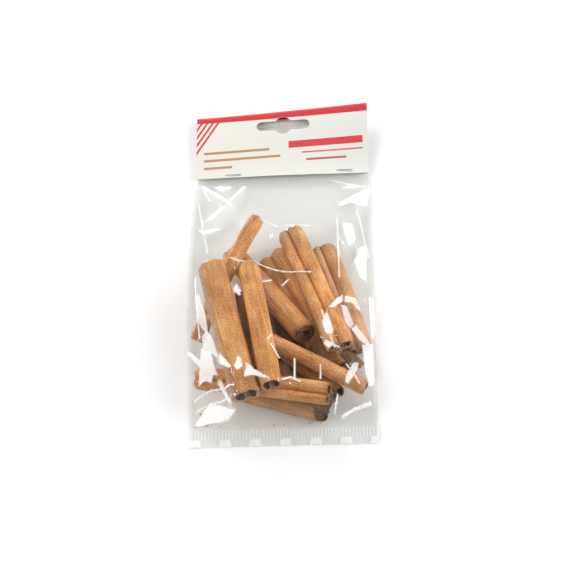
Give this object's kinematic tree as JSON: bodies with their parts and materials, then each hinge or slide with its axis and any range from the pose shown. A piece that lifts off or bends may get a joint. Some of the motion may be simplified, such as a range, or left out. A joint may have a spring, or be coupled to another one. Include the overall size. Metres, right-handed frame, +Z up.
{
  "type": "bag of cinnamon sticks",
  "caption": "Clear film bag of cinnamon sticks lying on its back, closed by a folded and stapled header card with a hang slot.",
  "frame": {"origin": "middle of the bag's outline on the table it lies on", "axes": "+X across the bag, +Y from the bottom seal to the header card, +Z up out of the front"},
  "size_m": [0.1082, 0.2106, 0.0344],
  "materials": {
    "film": "clear crinkled film",
    "cinnamon_bark": "dry rolled bark, matt to satin",
    "card": "coated card with flat colour fields",
    "staple_wire": "bright zinc-coated wire"
  },
  "bodies": {
    "root": {"bag": "film", "header_card": "card", "staple_left": "staple_wire", "staple_right": "staple_wire"}
  },
  "joints": []
}
